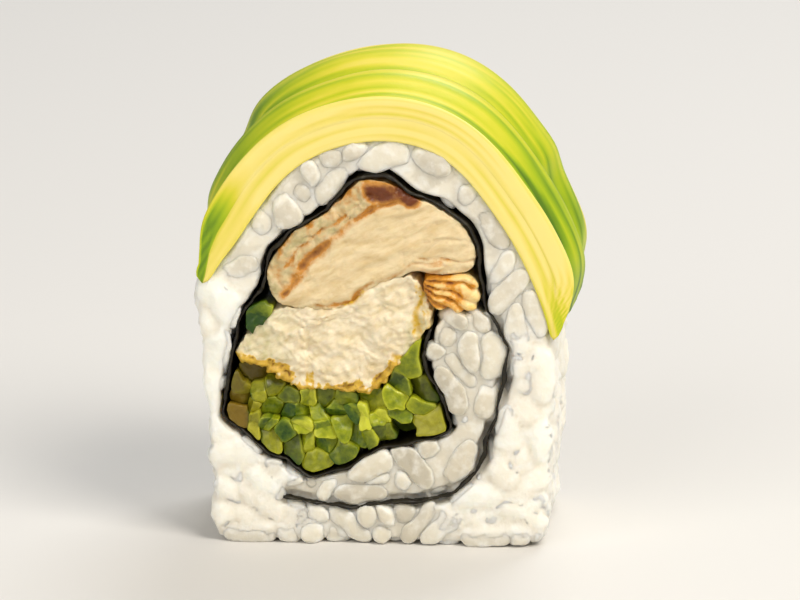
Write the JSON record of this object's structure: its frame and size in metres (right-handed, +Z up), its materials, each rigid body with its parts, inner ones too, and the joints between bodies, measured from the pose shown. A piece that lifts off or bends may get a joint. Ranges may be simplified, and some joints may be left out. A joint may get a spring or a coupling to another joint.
{
  "type": "uramaki roll",
  "caption": "Cut piece of an inside-out sushi roll standing on its base: rice outside, a spiral of nori, chicken and cucumber inside, avocado slices over the arched top.",
  "frame": {"origin": "middle of the base, on the surface that the piece stands on", "axes": "+Z up through the arched top, Y along the roll's axis from cut to cut with the front cut facing -Y, X across the piece"},
  "size_m": [0.0386, 0.0214, 0.0471],
  "materials": {
    "cooked_rice": "moist, slightly translucent",
    "nori": "softened, faintly glossy",
    "cucumber": "wet",
    "chicken": "moist fibres, browned outer edge",
    "browned_chicken": "browned and crisp",
    "avocado": "smooth, oily sheen"
  },
  "bodies": {
    "root": {"rice": "cooked_rice", "nori": "nori", "cucumber": "cucumber", "cucumber_strip": "cucumber", "chicken_lower": "chicken", "chicken_upper": "chicken", "chicken_side": "browned_chicken", "avocado_slice_1": "avocado", "avocado_slice_2": "avocado", "avocado_slice_3": "avocado", "avocado_slice_4": "avocado"}
  },
  "joints": []
}
